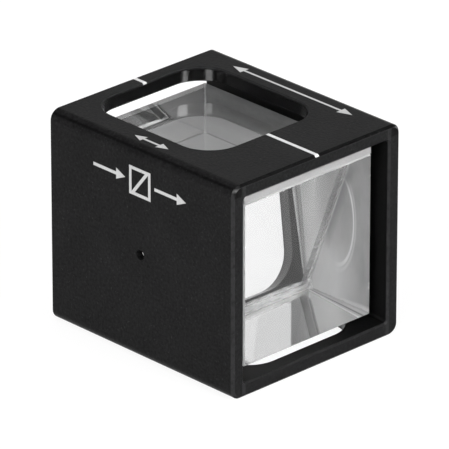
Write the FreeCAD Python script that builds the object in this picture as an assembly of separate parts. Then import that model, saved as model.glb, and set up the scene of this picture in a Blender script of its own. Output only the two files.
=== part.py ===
import FreeCAD, Part
import math
import os

from FreeCAD import Vector

# Glan-laser polarizer: a pair of calcite wedge prisms with a slanted air gap between them,
# held in a one-piece square housing.
# Millimetres. X is the optical axis and +X points out of the exit end, Y is across, +Z is up.
# The origin is the middle of the housing, on the optical axis.

# Prism pair
prism_length = 21.7        # entrance face to exit face, along the optical axis
prism_width = 16.0
prism_height = 16.0
cut_angle = 38.5           # degrees between the slanted cut and the entrance face
air_gap = 0.1              # measured square to the cut
prism_bevel = 0.12         # protective bevel on every edge of a prism
exit_prism_drop = 0.25     # the exit prism sits this much lower than the entrance prism

# Spacer strips that keep the air gap open along its side edges
spacer_width = 0.8
spacer_inset = 0.4         # from the prism's side face to the strip, and from the strip's end to the cut's end

# Room between the prisms and the bore, filled by bonds at the sides and by shims at the lips
bond_gap = 1.1
bond_radius = 4.7
bond_offset = 1.4          # from the fill port to the bond's middle, towards the exit end
bond_waist = 0.25          # how far the cured rim of a bond draws in at mid thickness
port_radius = 0.5          # fill port through each side wall
plug_shrink = 0.02         # cured adhesive stands off the port's wall by this much
plug_depth = 0.7           # from the outer face down to the adhesive
plug_dish = 0.12           # hollow in the adhesive's free end
shim_clearance = 0.1       # along X, from a shim to the neighbouring prism
shim_edge_break = 0.08

# Housing
wall = 1.4                 # bore to outer face, on all sides
end_recess = 1.15          # housing end to prism face
body_corner_radius = 1.05  # the long outer edges
bore_corner_radius = 0.35
end_edge_break = 0.22      # outer edges of the end faces
mouth_edge_break = 0.18    # edges of the bore's mouths

# Escape windows, above at the entrance end and below at the exit end
window_length = 15.9
window_width = 14.4
window_corner_radius = 3.3
window_end_margin = 1.55   # housing end to window
window_edge_break = 0.1

# Index line engraved on the top face over the optical axis, filled with white paint
index_width = 0.45
index_depth = 0.2
index_fill_recess = 0.03   # the paint lies this much below the face

# Sizes that follow
bore_width = prism_width + 2 * bond_gap
bore_height = prism_height + 2 * bond_gap
body_length = prism_length + 2 * end_recess
body_width = bore_width + 2 * wall
body_height = bore_height + 2 * wall
body_end = body_length / 2
body_side = body_width / 2
body_top = body_height / 2
cut_slope = math.tan(math.radians(cut_angle))
half_gap_along_x = air_gap / 2 / math.cos(math.radians(cut_angle))
entrance_top = prism_height / 2
exit_top = prism_height / 2 - exit_prism_drop
exit_bottom = -prism_height / 2 - exit_prism_drop


def rounded_rectangle(length, width, radius):
    """Face in the XY plane, centred on the origin, with round corners."""
    x = length / 2
    y = width / 2
    corner = radius * (1 - math.sqrt(0.5))
    sides = [
        Part.LineSegment(Vector(-x + radius, -y, 0), Vector(x - radius, -y, 0)),
        Part.Arc(Vector(x - radius, -y, 0), Vector(x - corner, -y + corner, 0), Vector(x, -y + radius, 0)),
        Part.LineSegment(Vector(x, -y + radius, 0), Vector(x, y - radius, 0)),
        Part.Arc(Vector(x, y - radius, 0), Vector(x - corner, y - corner, 0), Vector(x - radius, y, 0)),
        Part.LineSegment(Vector(x - radius, y, 0), Vector(-x + radius, y, 0)),
        Part.Arc(Vector(-x + radius, y, 0), Vector(-x + corner, y - corner, 0), Vector(-x, y - radius, 0)),
        Part.LineSegment(Vector(-x, y - radius, 0), Vector(-x, -y + radius, 0)),
        Part.Arc(Vector(-x, -y + radius, 0), Vector(-x + corner, -y + corner, 0), Vector(-x + radius, -y, 0)),
    ]
    return Part.Face(Part.Wire([side.toShape() for side in sides]))


def bar_along_x(width, height, radius, length):
    """Bar of rounded section, centred on the origin, with its length along X."""
    section = rounded_rectangle(height, width, radius)
    bar = section.extrude(Vector(0, 0, length))
    bar.translate(Vector(0, 0, -length / 2))
    bar.rotate(Vector(0, 0, 0), Vector(0, 1, 0), 90)
    return bar


def edges_in_plane(shape, normal, level, reach):
    """Edges of a shape that lie in the plane at this level and stay within reach of its middle.

    reach gives the half sizes of the outline along X, Y and Z."""
    found = []
    for edge in shape.Edges:
        box = edge.BoundBox
        low = Vector(box.XMin, box.YMin, box.ZMin)
        high = Vector(box.XMax, box.YMax, box.ZMax)
        flat = abs(low.dot(normal) - level) < 1e-4 and abs(high.dot(normal) - level) < 1e-4
        inside = all(max(abs(a), abs(b)) < limit + 1e-4 for a, b, limit in zip(low, high, reach))
        if flat and inside:
            found.append(edge)
    return found


def window_cutter(side):
    """Cutter of one escape window: side is +1 for the top wall, -1 for the bottom wall."""
    outline = rounded_rectangle(window_length, window_width, window_corner_radius)
    cutter = outline.extrude(Vector(0, 0, 2 * wall))
    middle_x = -side * (body_end - window_end_margin - window_length / 2)
    cutter.translate(Vector(middle_x, 0, side * (body_top - wall / 2) - wall))
    return cutter


def housing_blank():
    """The housing with its bore, windows and fill ports, before the index line is engraved."""
    x_axis = Vector(1, 0, 0)
    z_axis = Vector(0, 0, 1)
    everywhere = (body_end, body_side, body_top)
    blank = bar_along_x(body_width, body_height, body_corner_radius, body_length)
    rims = edges_in_plane(blank, x_axis, body_end, everywhere)
    rims += edges_in_plane(blank, x_axis, -body_end, everywhere)
    blank = blank.makeChamfer(end_edge_break, rims)

    blank = blank.cut(bar_along_x(bore_width, bore_height, bore_corner_radius, 2 * body_length))
    mouth = (body_end, bore_width / 2, bore_height / 2)
    mouths = edges_in_plane(blank, x_axis, body_end, mouth)
    mouths += edges_in_plane(blank, x_axis, -body_end, mouth)
    blank = blank.makeChamfer(mouth_edge_break, mouths)

    blank = blank.cut(window_cutter(1)).cut(window_cutter(-1))
    opening = (body_end - window_end_margin, window_width / 2, body_top)
    openings = edges_in_plane(blank, z_axis, body_top, opening)
    openings += edges_in_plane(blank, z_axis, -body_top, opening)
    blank = blank.makeChamfer(window_edge_break, openings)

    ports = Part.makeCylinder(port_radius, 2 * body_width, Vector(0, -body_width, 0), Vector(0, 1, 0))
    return blank.cut(ports)


def index_bar(recess):
    """Bar of the index line's section, over the whole length, with its top this far below the face."""
    bar = Part.makeBox(body_length, index_width, index_depth - recess)
    bar.translate(Vector(-body_end, -index_width / 2, body_top - index_depth))
    return bar


def cut_x(z, side):
    """X of a prism's cut face at height z: side is +1 on the exit prism, -1 on the entrance prism."""
    return z * cut_slope + side * half_gap_along_x


def prism(side, drop):
    """One wedge: a trapezium in the XZ plane, extruded across, with bevelled edges."""
    end_x = side * prism_length / 2
    top = prism_height / 2 - drop
    bottom = -prism_height / 2 - drop
    corners = [
        Vector(end_x, 0, bottom),
        Vector(end_x, 0, top),
        Vector(cut_x(top, side), 0, top),
        Vector(cut_x(bottom, side), 0, bottom),
    ]
    section = Part.Face(Part.makePolygon(corners + corners[:1]))
    block = section.extrude(Vector(0, prism_width, 0))
    block.translate(Vector(0, -prism_width / 2, 0))
    return block.makeChamfer(prism_bevel, block.Edges)


def gap_spacer(side):
    """Thin strip in the air gap along one side edge of the cut: side is +1 at +Y, -1 at -Y."""
    shared_height = exit_top + prism_height / 2
    length = shared_height / math.cos(math.radians(cut_angle)) - 2 * spacer_inset
    strip = Part.makeBox(air_gap, spacer_width, length)
    middle_y = side * (prism_width / 2 - spacer_inset - spacer_width / 2)
    strip.translate(Vector(-air_gap / 2, middle_y - spacer_width / 2, -length / 2))
    strip.rotate(Vector(0, 0, 0), Vector(0, 1, 0), cut_angle)
    middle_z = (exit_top - prism_height / 2) / 2
    strip.translate(Vector(middle_z * cut_slope, 0, middle_z))
    return strip


def turned(profile):
    """Solid of revolution about the Y axis: profile is a closed run of edges in the XY plane."""
    face = Part.Face(Part.Wire([edge.toShape() for edge in profile]))
    return face.revolve(Vector(0, 0, 0), Vector(0, 1, 0), 360)


def side_bond(side):
    """Cured adhesive: a disc between the prisms and a side wall, with the plug that stands in the port."""
    inner = prism_width / 2
    seat = bore_width / 2
    disc = turned([
        Part.LineSegment(Vector(0, inner, 0), Vector(bond_radius, inner, 0)),
        Part.Arc(
            Vector(bond_radius, inner, 0),
            Vector(bond_radius - bond_waist, (inner + seat) / 2, 0),
            Vector(bond_radius, seat, 0),
        ),
        Part.LineSegment(Vector(bond_radius, seat, 0), Vector(0, seat, 0)),
        Part.LineSegment(Vector(0, seat, 0), Vector(0, inner, 0)),
    ])
    disc.translate(Vector(bond_offset, 0, 0))

    plug_radius = port_radius - plug_shrink
    plug_end = body_side - plug_depth
    dish_radius = (plug_radius ** 2 + plug_dish ** 2) / (2 * plug_dish)
    dish_middle = plug_end - plug_dish + dish_radius - math.sqrt(dish_radius ** 2 - (plug_radius / 2) ** 2)
    plug = turned([
        Part.LineSegment(Vector(0, inner, 0), Vector(plug_radius, inner, 0)),
        Part.LineSegment(Vector(plug_radius, inner, 0), Vector(plug_radius, plug_end, 0)),
        Part.Arc(
            Vector(plug_radius, plug_end, 0),
            Vector(plug_radius / 2, dish_middle, 0),
            Vector(0, plug_end - plug_dish, 0),
        ),
        Part.LineSegment(Vector(0, plug_end - plug_dish, 0), Vector(0, inner, 0)),
    ])
    bond = disc.fuse(plug).removeSplitter()
    if side < 0:
        bond.rotate(Vector(0, 0, 0), Vector(1, 0, 0), 180)
    return bond


def lip_shim(side):
    """Flat shim between a prism's lip and the bore: side is +1 over the exit prism, -1 under the entrance prism."""
    if side > 0:
        seat = exit_top
        start = cut_x(entrance_top, -1) + shim_clearance
        thickness = bore_height / 2 - seat
        base = seat
    else:
        seat = -prism_height / 2
        start = -cut_x(exit_bottom, 1) + shim_clearance
        thickness = bore_height / 2 + seat
        base = -bore_height / 2
    length = prism_length / 2 - start
    shim = Part.makeBox(length, prism_width, thickness)
    first_x = start if side > 0 else -start - length
    shim.translate(Vector(first_x, -prism_width / 2, base))
    return shim.makeChamfer(shim_edge_break, shim.Edges)


def build():
    """All pieces by name."""
    blank = housing_blank()
    paint = blank.common(index_bar(index_fill_recess))
    strokes = sorted(paint.Solids, key=lambda stroke: stroke.CenterOfMass.x)
    return {
        "housing": blank.cut(index_bar(0)),
        "entrance_prism": prism(-1, 0),
        "exit_prism": prism(1, exit_prism_drop),
        "gap_spacer_left": gap_spacer(-1),
        "gap_spacer_right": gap_spacer(1),
        "side_bond_left": side_bond(-1),
        "side_bond_right": side_bond(1),
        "exit_lip_shim": lip_shim(1),
        "entrance_lip_shim": lip_shim(-1),
        "index_fill_rear": strokes[0],
        "index_fill_front": strokes[-1],
    }


os.makedirs("parts", exist_ok=True)
for name, piece in build().items():
    solid = piece.Solids[0]
    solid.exportStep(os.path.join("parts", name + ".step"))
    print(name, len(piece.Solids), "solid", round(solid.Volume, 3), "mm3", solid.isValid())
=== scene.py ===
import math

import bpy
import numpy as np
from mathutils import Matrix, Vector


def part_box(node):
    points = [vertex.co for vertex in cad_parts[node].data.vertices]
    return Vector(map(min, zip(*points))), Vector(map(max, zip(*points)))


# Glan-laser polarizer, dressed for its portrait: finishes for the housing, the two prisms and the small
# pieces that hold them, a white floor, soft light and the camera.
# Metres, in the frame of the part: X along the optical axis and out of the exit end, Z up.

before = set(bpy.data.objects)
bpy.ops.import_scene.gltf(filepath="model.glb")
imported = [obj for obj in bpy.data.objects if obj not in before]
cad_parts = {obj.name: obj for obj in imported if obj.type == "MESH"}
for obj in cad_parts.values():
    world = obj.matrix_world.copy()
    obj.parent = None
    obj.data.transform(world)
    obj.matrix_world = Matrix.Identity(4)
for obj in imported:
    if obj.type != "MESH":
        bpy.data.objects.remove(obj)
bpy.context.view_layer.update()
mm = 0.001

housing_low, housing_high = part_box("housing")
body_end = housing_high[0] / mm
body_side = housing_high[1] / mm
body_top = housing_high[2] / mm
bond_low, bond_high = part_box("side_bond_left")
bond_radius = (bond_high[0] - bond_low[0]) / 2 / mm
bond_middle = (bond_high[0] + bond_low[0]) / 2 / mm
bore_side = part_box("exit_lip_shim")[1][2] / mm
cut_angle = math.radians(38.5)
corner_round = 1.05
calcite_index = 1.58


class Field:
    """One output of a node tree. Arithmetic on it adds Math nodes, so a mask reads as an expression."""

    def __init__(self, board, socket):
        self.board = board
        self.socket = socket

    def math(self, operation, *others):
        return self.board.node("ShaderNodeMath", {"operation": operation}, dict(enumerate((self,) + others)))

    def __add__(self, other):
        return self.math("ADD", other)

    def __radd__(self, other):
        return self.math("ADD", other)

    def __sub__(self, other):
        return self.math("SUBTRACT", other)

    def __rsub__(self, other):
        return self.board.node("ShaderNodeMath", {"operation": "SUBTRACT"}, {0: other, 1: self})

    def __mul__(self, other):
        return self.math("MULTIPLY", other)

    def __rmul__(self, other):
        return self.math("MULTIPLY", other)

    def __truediv__(self, other):
        return self.math("DIVIDE", other)

    def __abs__(self):
        return self.math("ABSOLUTE")

    def __and__(self, other):
        return self.math("MINIMUM", other)

    def __or__(self, other):
        return self.math("MAXIMUM", other)

    def rise(self, low, high):
        """0 below low, 1 above high and straight between them; with low above high it falls instead."""
        sockets = {"Value": self, "From Min": low, "From Max": high, "To Min": 0.0, "To Max": 1.0}
        return self.board.node("ShaderNodeMapRange", {"clamp": True}, sockets)


class Board:
    """A node tree that is wired from Python."""

    def __init__(self, tree):
        self.tree = tree
        tree.nodes.clear()

    def node(self, kind, settings, sockets, output=0):
        """Adds one node: its settings are set first, then the values or links of its sockets."""
        made = self.tree.nodes.new(kind)
        for name, value in settings.items():
            setattr(made, name, value)
        for key, value in sockets.items():
            if isinstance(value, Field):
                self.tree.links.new(value.socket, made.inputs[key])
            else:
                made.inputs[key].default_value = value
        return Field(self, made.outputs[output]) if len(made.outputs) else made

    def millimetres(self):
        """X, Y and Z of the surface point, in millimetres."""
        place = self.node("ShaderNodeTexCoord", {}, {}, "Object")
        split = {"Vector": place}
        return [self.node("ShaderNodeSeparateXYZ", {}, split, axis) * 1000.0 for axis in "XYZ"]

    def noise(self, size, detail=2.0, roughness=0.5, stretch=(1.0, 1.0, 1.0)):
        """Noise from 0 to 1 whose features are about this many millimetres across."""
        place = self.node("ShaderNodeTexCoord", {}, {}, "Object")
        scale = tuple(1.0 / (size * mm * s) for s in stretch)
        scaled = self.node("ShaderNodeMapping", {}, {"Vector": place, "Scale": scale})
        sockets = {"Vector": scaled, "Scale": 1.0, "Detail": detail, "Roughness": roughness}
        return self.node("ShaderNodeTexNoise", {}, sockets, 0)

    def blend(self, factor, first, second):
        """Mix of two colours or colour fields."""
        settings = {"data_type": "RGBA", "blend_type": "MIX"}
        return self.node("ShaderNodeMix", settings, {0: factor, 6: first, 7: second}, 2)

    def layers(self, colour, *coats):
        """Lays (mask, colour) coats over a colour, one after another."""
        for mask, coat in coats:
            colour = self.blend(mask, colour, coat)
        return colour

    def ray(self, kind):
        """One output of the Light Path node, such as Is Camera Ray."""
        return self.node("ShaderNodeLightPath", {}, {}, kind)

    def bump(self, height, depth, strength=1.0):
        """Normal of a relief: height from 0 to 1, depth in millimetres."""
        sockets = {"Height": height, "Distance": depth * mm, "Strength": strength}
        return self.node("ShaderNodeBump", {}, sockets)

    def principled(self, sockets):
        return self.node("ShaderNodeBsdfPrincipled", {}, sockets)

    def show(self, shader):
        self.node("ShaderNodeOutputMaterial", {"target": "ALL"}, {"Surface": shader})


def grey(value, blue=1.0):
    """A grey as a colour, a little bluer where blue is over 1."""
    return (value, value, value * blue, 1.0)


def new_board(name):
    """A material and the board that its nodes go on."""
    material = bpy.data.materials.new(name)
    material.use_nodes = True
    return material, Board(material.node_tree)


def near(distance, reach, soft):
    """1 where distance is under reach, falling to 0 over the next soft millimetres."""
    return distance.rise(reach + soft, reach)


# White marks: masks on the flat outer faces, in millimetres along the two directions of a face.

def stroke(u, v, start, end, level, width):
    """Straight stroke along u from start to end, at v = level: 1 inside, 0 outside."""
    middle = (start + end) / 2
    along = abs(u - middle).rise((end - start) / 2 + 0.02, (end - start) / 2 - 0.02)
    across = abs(v - level).rise(width / 2 + 0.02, width / 2 - 0.02)
    return along & across


def arrow_head(u, v, tip, level, length, spread):
    """Filled triangle whose point is at u = tip; length is negative for a head that points to -u."""
    into = (tip - u) / length
    inside = into.rise(0.0, 0.03) & into.rise(1.02, 0.98)
    edge = into * (spread / 2) - abs(v - level)
    return inside & edge.rise(-0.02, 0.02)


def double_arrow(u, v, start, end, level, width, head, spread):
    """Stroke with a head at each end."""
    line = stroke(u, v, start + head * 0.8, end - head * 0.8, level, width)
    first = arrow_head(u, v, start, level, -head, spread)
    last = arrow_head(u, v, end, level, head, spread)
    return line | first | last


def ray_diagram(u, v, level, width):
    """Arrow into a square with a slanted line across it, and an arrow out of it."""
    half = 1.4
    outside = abs(u) | abs(v - level)
    frame_line = abs(outside - (half - width / 2)).rise(width / 2 + 0.02, width / 2 - 0.02)
    slant = abs((u - (v - level) * 0.8) * 0.78).rise(width / 2 + 0.02, width / 2 - 0.02)
    diagonal = slant & outside.rise(half + 0.01, half - 0.01)
    arrow_in = stroke(u, v, -6.1, -2.6, level, width) | arrow_head(u, v, -1.9, level, 1.2, 1.1)
    arrow_out = stroke(u, v, 1.9, 5.2, level, width) | arrow_head(u, v, 6.0, level, 1.2, 1.1)
    return frame_line | diagonal | arrow_in | arrow_out


def white_marks(x, y, z):
    """Two double arrows on the top face and a ray diagram on the left face."""
    on_top = z.rise(body_top - 0.02, body_top - 0.01)
    on_left = y.rise(0.02 - body_side, 0.01 - body_side)
    long_arrow = double_arrow(x, y, start=-7.6, end=7.9, level=8.45, width=0.26, head=1.5, spread=1.1)
    short_arrow = double_arrow(x, y, start=-2.5, end=1.9, level=-8.75, width=0.26, head=1.2, spread=1.0)
    diagram = ray_diagram(x, z, level=7.1, width=0.32)
    return ((long_arrow | short_arrow) & on_top) | (diagram & on_left)


def black_anodised():
    """Finish of the housing: finely blasted aluminium under nearly black anodising, with a fine grain, pale
    specks and white marks. The rims of the mouths and windows and the upright edges of the exit end are worn
    by rubbing and painted a little brighter, as highlight, and that end's top corners have knocks, painted
    light as a glint. The level edges, the upright ones of the entrance end and the long ones on top hardly
    catch light and are painted nearly black, as shade. The bore is painted a deeper black, as shade, and is
    dull, and a little paler low down, as painted light from the floor. The milled walls of the windows are
    smooth and shine, and those of the lower window are painted paler, as light from the floor."""
    material, board = new_board("black_anodised")
    x, y, z = board.millimetres()
    grain = board.noise(0.30, 3.0, 0.65)
    cloud = board.noise(4.0, 2.0, 0.5)
    specks = board.noise(0.22, 1.0, 0.5).rise(0.66, 0.78)
    patchy = board.noise(0.5, 3.0, 0.6).rise(0.20, 0.55)
    burrs = board.noise(0.3, 2.0, 0.6, stretch=(1.0, 1.0, 3.0))

    to_end = body_end - abs(x)
    to_side = body_side - abs(y)
    to_top = body_top - abs(z)
    round_side = (corner_round - to_side) | 0.0
    round_top = (corner_round - to_top) | 0.0
    under_skin = corner_round - (round_side * round_side + round_top * round_top).math("SQRT")
    inside = (to_end & under_skin).rise(0.20, 0.30)
    in_wall = abs(z).rise(bore_side + 0.02, bore_side + 0.08)

    at_front = x.rise(-1.0, 1.0)
    end_bevel = near(to_end + under_skin, 0.24, 0.05)
    upright_edge = end_bevel & to_top.rise(0.25, 0.50)
    level_edge = end_bevel & to_top.rise(0.50, 0.25)
    mouth_edge = near(abs(abs(y) - bore_side) + to_end, 0.19, 0.03)
    below_top = to_top.rise(0.02, 0.04) & near(to_top, 0.10, 0.02)
    window_rim = below_top & to_side.rise(2.0, 2.2) & to_end.rise(1.2, 1.4)
    # Wear from rubbing on the exit end's upright edges and on the rims of mouths and windows, painted
    # brighter as highlight.
    rubbed_and_highlit = (upright_edge & at_front | mouth_edge | window_rim) * patchy
    # Knocks on the exit end's top corners, painted light as a glint.
    knocked_and_glint = end_bevel & at_front & near(abs(body_top - z - 0.42), 0.02, 0.18)
    on_round = near(to_side | to_top, corner_round + 0.01, 0.10)
    long_edge = (to_side & to_top).rise(0.18, 0.27) & on_round & z.rise(-1.0, 1.0)
    # Painted shade: the level edges, the entrance end's upright edges and the long top edges nearly black.
    unlit = (level_edge | upright_edge & (1 - at_front) | long_edge * 0.75) * (patchy * 0.3 + 0.7)

    marks = white_marks(x, y, z)
    worn_marks = marks * board.noise(0.12, 2.0, 0.6).rise(0.20, 0.34)
    black = board.blend((grain - 0.5) * 1.5 + 0.3 + cloud * 0.4, grey(0.0030, 1.02), grey(0.0180, 1.02))
    blasted = board.principled({
        "Base Color": board.layers(
            black,
            (rubbed_and_highlit, grey(0.025, 1.03)),
            (unlit, grey(0.0006)),
            (knocked_and_glint * patchy * 0.7, grey(0.15)),
            (specks * 0.25, grey(0.06)),
            (worn_marks, board.blend(cloud, grey(0.46), grey(0.58))),
        ),
        "Roughness": 0.24 + grain * 0.16 + worn_marks * 0.3,
        "Specular IOR Level": 0.03,
        "Normal": board.bump(grain + cloud * 0.3 - marks * 1.5, 0.02, 1.0),
    })
    upper_wall = board.blend(grain, grey(0.001), grey(0.003))
    milled = board.principled({
        # Painted light: the lower window's walls paler, as light from the floor.
        "Base Color": board.blend(z.rise(1.0, -1.0), upper_wall, grey(0.12)),
        "Roughness": 0.12 + burrs * 0.14,
        "Specular IOR Level": 0.2,
        "Normal": board.bump(burrs, 0.010, 0.7),
    })
    # Painted light: the bore's floor a little paler low down, towards -Y, as light from the floor.
    floor_light = z.rise(0.3 - bore_side, -bore_side) * y.rise(5.0, -7.0)
    # Painted shade: the bore a deeper black than the outer faces.
    shade_black = board.blend(grain, grey(0.0012), grey(0.0036))
    shaded_bore = board.principled({
        "Base Color": board.blend(floor_light, shade_black, grey(0.014)),
        "Roughness": 0.42 + burrs * 0.12,
        "Specular IOR Level": 0.06,
        "Normal": board.bump(burrs, 0.006, 0.6),
    })
    hollow = board.node("ShaderNodeMixShader", {}, {0: in_wall, 1: shaded_bore, 2: milled})
    board.show(board.node("ShaderNodeMixShader", {}, {0: inside, 1: blasted, 2: hollow}))
    return material


def calcite(name):
    """Finish of one prism. The faces that the beam uses are polished and clear, with a little dust. The side
    faces are finely ground: streaked chalky white with smudges, painted paler low down as light, painted
    darker by the cut as shade, darker where the bond behind wets them, and with a painted highlight on the
    bond's rim. The entrance prism's side faces are painted a darker grey than the exit prism's, as shade.
    The bevels are ground and chipped, and the wedge's sharp edge is flaked, also at its two tips. A ground
    strip with two lines runs along each side of the exit prism's bottom and narrows away from its end."""
    low, high = [corner / mm for corner in np.array(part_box(name))]
    points_down = low[0] + high[0] > 0
    # The entrance prism's ground sides are painted a darker grey than the exit prism's, as shade, and its
    # painted highlight on the bond's rim is weaker.
    whiteness_and_shade = 0.45 if points_down else 0.175
    caught_white = (2.1 if points_down else 1.2) * whiteness_and_shade
    material, board = new_board("calcite_of_" + name)
    x, y, z = board.millimetres()
    side = high[1] - abs(y)
    end = (high[0] - x) if points_down else (x - low[0])
    top = high[2] - z
    bottom = z - low[2]
    sharp_face = bottom if points_down else top
    level = top & bottom
    air_gap_half = 0.05
    cut = abs(x - z * math.tan(cut_angle)) * math.cos(cut_angle) - air_gap_half

    chips = board.noise(0.7, 4.0, 0.7).rise(0.55, 0.75)
    shards = board.noise(0.7, 4.0, 0.7, stretch=(1.0, 5.0, 1.0))
    streaks = board.noise(0.35, 3.0, 0.6, stretch=(1.0, 1.0, 7.0))
    haze = board.noise(1.6, 4.0, 0.65)
    smudge = board.noise(3.0, 3.0, 0.6).rise(0.42, 0.66)
    dust = board.noise(0.30, 1.0, 0.5).rise(0.80, 0.84)

    nearest_two = (side | end) & (side | level) & (side | cut) & (end | level) & (end | cut) & (level | cut)
    flaked_edge = near((sharp_face | cut) - shards * 1.1, 0.02, 0.14)
    flaked_tips = near(side + cut + sharp_face - shards * 0.8, 0.6, 0.5)
    sharp_edge = flaked_edge | flaked_tips
    bevel = near(nearest_two - chips * 0.16, 0.11, 0.02) | sharp_edge
    strip_width = 1.4 - end * 0.06
    on_bottom = near(bottom, 0.02, 0.03) * float(points_down)
    strip = on_bottom & near(side - strip_width, -0.04, 0.08)
    across_strip = side / strip_width
    ground = near(side, 0.02, 0.04)

    along = x - bond_middle
    from_middle = (along * along + z * z).math("SQRT")
    # Painted highlight: the bond's rim and a halo round it, where light catches them.
    bond_rim = near(abs(from_middle - bond_radius), 0.12, 0.18)
    halo = near(abs(from_middle - bond_radius - 0.55), 0.05, 0.25) * 0.45
    caught = (bond_rim | halo) * (x.rise(0.5, 4.0) & z.rise(4.4, 2.6))
    wetted = near(from_middle, bond_radius - 2.2, 2.2)
    # Painted light: the ground sides paler low down and along the bottom.
    low_glow = z.rise(1.5, -5.0) * x.rise(8.5, 1.5) | near(bottom, 0.35, 0.35)
    # Painted shade: the ground sides darker by the cut.
    by_cut = near(cut, 0.3, 1.4) & z.rise(-3.6, -1.2) & z.rise(5.6, 4.2)
    # The ground sides' own streaked white and smudges, with painted light low down, painted shade by the cut
    # and the painted highlight on the bond's rim.
    chalk_and_painted_light = board.layers(
        board.blend(streaks, grey(0.84 * whiteness_and_shade), grey(1.04 * whiteness_and_shade)),
        (smudge * 0.4, grey(0.55 * whiteness_and_shade)),
        (low_glow, grey(1.7 * whiteness_and_shade)),
        (wetted * 0.3, grey(0.60 * whiteness_and_shade)),
        (by_cut * 0.7, grey(0.36 * whiteness_and_shade)),
        (caught, grey(caught_white)),
    )
    dark_line = near(abs(across_strip - 0.50), 0.05, 0.09)
    light_line = near(abs(across_strip - 0.90), 0.05, 0.09)
    lines = board.layers(grey(0.62), (dark_line, grey(0.22)), (light_line, grey(0.98)))
    flakes = board.blend(shards.rise(0.35, 0.60), grey(0.50), grey(1.0))
    upright = near(side | end, 0.2, 0.1)
    edges = board.layers(grey(whiteness_and_shade), (upright, grey(0.45)), (sharp_edge, flakes))

    normal = board.bump(streaks * ground + haze * 0.05, 0.004, 0.5)
    clear = board.principled({
        "Base Color": board.blend(haze, (0.955, 0.96, 0.96, 1.0), grey(0.975)),
        "Roughness": (ground | bevel) * (0.12 + streaks * 0.12),
        "IOR": calcite_index,
        "Transmission Weight": 1.0,
        "Normal": normal,
    })
    frost = board.principled({
        "Base Color": board.layers(chalk_and_painted_light, (strip, lines), (bevel, edges)),
        "Roughness": 0.8,
        "Normal": normal,
    })
    veil = ground * (0.86 + haze * 0.12) | bevel * 0.88 | strip * 0.80 | dust * 0.2
    board.show(board.node("ShaderNodeMixShader", {}, {0: veil, 1: clear, 2: frost}))
    return material


def spacer_foil():
    """Dull rolled foil with fine lines along its length."""
    material, board = new_board("spacer_foil")
    lines = board.noise(0.06, 2.0, 0.5, stretch=(8.0, 1.0, 8.0))
    patches = board.noise(0.8, 2.0, 0.5)
    board.show(board.principled({
        "Base Color": board.blend(patches, grey(0.42), grey(0.60)),
        "Metallic": 1.0,
        "Roughness": 0.35 + lines * 0.2,
        "Normal": board.bump(lines, 0.004, 0.5),
    }))
    return material


def cured_silicone():
    """Translucent cured adhesive, a little cloudy, with small bubbles."""
    material, board = new_board("cured_silicone")
    cloud = board.noise(1.2, 4.0, 0.6)
    bubbles = board.noise(0.16, 1.0, 0.5).rise(0.66, 0.74)
    colour = board.blend(cloud, grey(0.62), grey(0.74))
    board.show(board.principled({
        "Base Color": board.blend(bubbles, colour, grey(0.85)),
        "Roughness": 0.32 + cloud * 0.2,
        "Normal": board.bump(cloud + bubbles, 0.02, 0.6),
    }))
    return material


def white_shim():
    """Matt white plastic shim, cut from sheet."""
    material, board = new_board("white_shim")
    grain = board.noise(0.18, 3.0, 0.6)
    board.show(board.principled({
        "Base Color": board.blend(grain, grey(0.25), grey(0.33)),
        "Roughness": 0.5 + grain * 0.2,
        "Normal": board.bump(grain, 0.006, 0.5),
    }))
    return material


def white_paint():
    """White paint run into the engraved line, slightly uneven."""
    material, board = new_board("white_paint")
    ripple = board.noise(0.35, 3.0, 0.6)
    grain = board.noise(0.08, 2.0, 0.6)
    board.show(board.principled({
        "Base Color": board.blend(ripple, grey(0.60), grey(0.74)),
        "Roughness": 0.5 + grain * 0.2,
        "Normal": board.bump(ripple + grain * 0.4, 0.012, 0.6),
    }))
    return material


def smooth_rounds():
    """Modifier tree that joins the loose triangles and shades smooth across edges under 30 degrees."""
    tree = bpy.data.node_groups.new("smooth_rounds", "GeometryNodeTree")
    tree.interface.new_socket("Geometry", in_out="INPUT", socket_type="NodeSocketGeometry")
    tree.interface.new_socket("Geometry", in_out="OUTPUT", socket_type="NodeSocketGeometry")
    board = Board(tree)
    taken = board.node("NodeGroupInput", {}, {})
    joined = board.node("GeometryNodeMergeByDistance", {}, {"Geometry": taken, "Distance": 0.001 * mm})
    turned = board.node("GeometryNodeInputMeshEdgeAngle", {}, {}, "Unsigned Angle")
    sharp = board.node(
        "FunctionNodeCompare", {"data_type": "FLOAT", "operation": "GREATER_THAN"},
        {"A": turned, "B": math.radians(30)},
    )
    faces = board.node(
        "GeometryNodeSetShadeSmooth", {"domain": "FACE"},
        {"Geometry": joined, "Shade Smooth": True},
    )
    edges = board.node(
        "GeometryNodeSetShadeSmooth", {"domain": "EDGE"},
        {"Geometry": faces, "Selection": sharp, "Shade Smooth": False},
    )
    board.node("NodeGroupOutput", {}, {0: edges})
    return tree


def dress(name, material, rounds, parted=False):
    """Gives a CAD node its finish; rounds smooths the shading of its round edges.

    A parted node is drawn in by a hundredth of a millimetre, so that light isn't caught between faces that
    touch."""
    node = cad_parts[name]
    node.data.materials.clear()
    node.data.materials.append(material)
    if rounds:
        smoother = node.modifiers.new("smooth_rounds", "NODES")
        smoother.node_group = rounds
        weights = node.modifiers.new("flat_faces_flat", "WEIGHTED_NORMAL")
        weights.keep_sharp = True
        weights.weight = 100
    if parted:
        inset = node.modifiers.new("parted", "DISPLACE")
        inset.mid_level = 0.0
        inset.strength = -0.01 * mm


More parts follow.
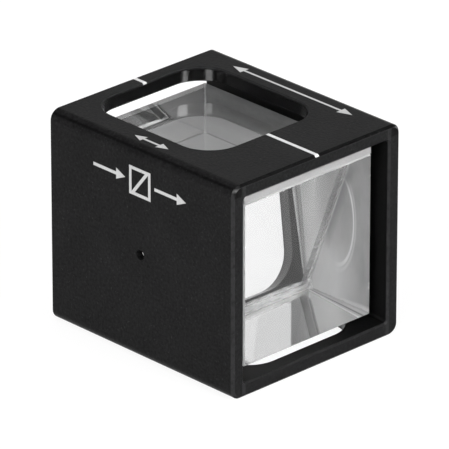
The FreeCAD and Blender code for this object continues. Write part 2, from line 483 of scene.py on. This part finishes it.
def sheet_mesh(name, width, depth, steps):
    """Flat sheet on a grid: point (i, j) is at (i / steps - 1/2) * width, (j / steps - 1/2) * depth."""
    ticks = np.linspace(-0.5, 0.5, steps + 1)
    across, along = np.meshgrid(ticks * width, ticks * depth, indexing="ij")
    points = np.stack([across, along, np.zeros_like(across)], axis=-1).reshape(-1, 3)
    index = np.arange((steps + 1) ** 2).reshape(steps + 1, steps + 1)
    corners = [index[:-1, :-1], index[1:, :-1], index[1:, 1:], index[:-1, 1:]]
    faces = np.stack(corners, axis=-1).reshape(-1, 4)
    mesh = bpy.data.meshes.new(name)
    mesh.from_pydata(points.tolist(), [], faces.tolist())
    sheet = bpy.data.objects.new(name, mesh)
    bpy.context.scene.collection.objects.link(sheet)
    return sheet


def seen(board):
    """1 for what the camera, a reflection or the glass looks at, 0 for light that only falls on a surface."""
    return board.ray("Is Camera Ray") | board.ray("Is Glossy Ray") | board.ray("Is Transmission Ray")


def white_floor():
    """Pale floor: lit by the lamps, and topped up to white where it is looked at, so that it keeps a faint
    shadow."""
    floor = sheet_mesh("floor", 3.0, 3.0, 4)
    floor.location.z = housing_low[2] - 0.02 * mm
    material, board = new_board("pale_floor")
    looked_at = seen(board)
    lit_white = grey(0.80)
    shadowed_white = grey(0.16)
    floor_glow = 0.88
    white = board.blend(looked_at, lit_white, shadowed_white)
    matt = board.node("ShaderNodeBsdfDiffuse", {}, {"Color": white})
    glow = board.node("ShaderNodeEmission", {}, {"Color": grey(1.0), "Strength": looked_at * floor_glow})
    board.show(board.node("ShaderNodeAddShader", {}, {0: matt, 1: glow}))
    floor.data.materials.append(material)


def studio_world():
    """White to the camera. What is mirrored or seen through the glass is a white backdrop behind the part, up
    to some height, and a dim room in front. Light that only falls on a surface comes softly from all sides,
    and more of it through the glass, where the lamps' own light doesn't reach."""
    room_glow = 0.04
    backdrop_glow = 0.74
    soft_light = 0.50
    light_through_glass = 3.55
    world = bpy.data.worlds.new("studio")
    bpy.context.scene.world = world
    world.use_nodes = True
    board = Board(world.node_tree)
    direction = board.node("ShaderNodeTexCoord", {}, {}, "Generated")
    x, y, z = [board.node("ShaderNodeSeparateXYZ", {}, {"Vector": direction}, axis) for axis in "XYZ"]
    behind = (y * 0.696 - x * 0.718).rise(0.12, 0.32) | z.rise(0.06, 0.0)
    backdrop = (z.rise(0.60, 0.50) & behind) * backdrop_glow + room_glow
    camera_ray = board.ray("Is Camera Ray")
    mirrored = board.ray("Is Glossy Ray")
    through = board.ray("Is Transmission Ray")
    scattered = board.ray("Diffuse Depth").rise(0.0, 1.0)
    looked_at = (mirrored | through) * (1 - scattered)
    soft = soft_light + through * scattered * light_through_glass
    strength = looked_at * backdrop + (1 - looked_at) * soft
    strength = camera_ray + (1 - camera_ray) * strength
    backing = board.node("ShaderNodeBackground", {}, {"Color": grey(1.0), "Strength": strength})
    board.node("ShaderNodeOutputWorld", {}, {"Surface": backing})


def aimed(position, target=(0.0, 0.0, 0.0)):
    """Matrix of a lamp at position whose light points at target."""
    back = np.array(position) - np.array(target)
    back = back / np.linalg.norm(back)
    right = np.cross((0.0, 0.0, 1.0), back)
    if np.linalg.norm(right) < 1e-6:
        right = np.array((1.0, 0.0, 0.0))
    right = right / np.linalg.norm(right)
    up = np.cross(back, right)
    matrix = np.eye(4)
    matrix[:3, 0] = right
    matrix[:3, 1] = up
    matrix[:3, 2] = back
    matrix[:3, 3] = position
    return Matrix(matrix.tolist())


def towards(azimuth, elevation, distance):
    """Point at that distance from the part; azimuth from +X towards +Y, in degrees."""
    a = math.radians(azimuth)
    e = math.radians(elevation)
    return np.array((math.cos(a) * math.cos(e), math.sin(a) * math.cos(e), math.sin(e))) * distance


def softbox(name, azimuth, elevation, distance, width, height, power):
    """Rectangular lamp that faces the part and isn't itself reflected."""
    lamp = bpy.data.lights.new(name, "AREA")
    lamp.shape = "RECTANGLE"
    lamp.size = width
    lamp.size_y = height
    lamp.energy = power
    holder = bpy.data.objects.new(name, lamp)
    bpy.context.scene.collection.objects.link(holder)
    holder.matrix_world = aimed(towards(azimuth, elevation, distance))
    holder.visible_camera = False
    holder.visible_glossy = False
    holder.visible_transmission = False


def diffuser(name, azimuth, elevation, distance, width, height, strength):
    """Front cloth of a softbox: only reflections see it, so it shows as a bright patch in the dark walls."""
    cloth = sheet_mesh(name, width, height, 2)
    cloth.matrix_world = aimed(towards(azimuth, elevation, distance))
    material, board = new_board(name)
    strength_mirrored = board.ray("Is Glossy Ray") * strength
    glow = board.node("ShaderNodeEmission", {}, {"Color": grey(1.0), "Strength": strength_mirrored})
    board.show(glow)
    cloth.data.materials.append(material)
    cloth.visible_camera = False
    cloth.visible_diffuse = False
    cloth.visible_transmission = False
    cloth.visible_shadow = False


def portrait_camera():
    """Camera of the photograph: a long lens, looking down at the exit end and the left face."""
    azimuth = math.radians(46.07)
    elevation = math.radians(24.75)
    roll = math.radians(0.04)
    back = np.array((
        math.sin(azimuth) * math.cos(elevation),
        -math.cos(azimuth) * math.cos(elevation),
        math.sin(elevation),
    ))
    level = np.array((math.cos(azimuth), math.sin(azimuth), 0.0))
    upright = np.cross(back, level)
    right = math.cos(roll) * level + math.sin(roll) * upright
    up = math.cos(roll) * upright - math.sin(roll) * level
    distance = 0.595
    sideways = 0.000025
    rise = -0.000287
    focal_pixels = 6538.0
    image_pixels = 449.0
    matrix = np.eye(4)
    matrix[:3, 0] = right
    matrix[:3, 1] = up
    matrix[:3, 2] = back
    matrix[:3, 3] = right * sideways + up * rise + back * distance
    lens = bpy.data.cameras.new("portrait")
    lens.sensor_width = 36.0
    lens.lens = focal_pixels * lens.sensor_width / image_pixels
    lens.clip_start = 0.01
    lens.clip_end = 20.0
    camera = bpy.data.objects.new("portrait", lens)
    camera.matrix_world = Matrix(matrix.tolist())
    bpy.context.scene.collection.objects.link(camera)
    bpy.context.scene.camera = camera


rounds = smooth_rounds()
adhesive = cured_silicone()
foil = spacer_foil()
shim = white_shim()
paint = white_paint()
dress("housing", black_anodised(), rounds)
for prism in ("entrance_prism", "exit_prism"):
    dress(prism, calcite(prism), None)
for spacer in ("gap_spacer_left", "gap_spacer_right"):
    dress(spacer, foil, None)
for bond in ("side_bond_left", "side_bond_right"):
    dress(bond, adhesive, rounds, parted=True)
for lip_shim in ("exit_lip_shim", "entrance_lip_shim"):
    dress(lip_shim, shim, rounds, parted=True)
for fill in ("index_fill_front", "index_fill_rear"):
    dress(fill, paint, None)

white_floor()
studio_world()
softbox("overhead", azimuth=0.0, elevation=89.0, distance=0.6, width=0.6, height=0.6, power=0.3)
side_box = {"elevation": 26.0, "distance": 0.8, "width": 0.36, "height": 0.50}
softbox("front_right_softbox", azimuth=10.0, power=4.9, **side_box)
softbox("front_left_softbox", azimuth=-70.0, power=4.3, **side_box)
side_cloth = {"elevation": 27.0, "distance": 0.8, "height": 0.50}
diffuser("right_cloth", azimuth=17.0, width=0.40, strength=80.0, **side_cloth)
diffuser("left_cloth", azimuth=-70.0, width=0.28, strength=60.0, **side_cloth)
portrait_camera()

scene = bpy.context.scene
scene.view_settings.view_transform = "Standard"
scene.cycles.max_bounces = 24
scene.cycles.glossy_bounces = 24
scene.cycles.transmission_bounces = 24
scene.cycles.diffuse_bounces = 6
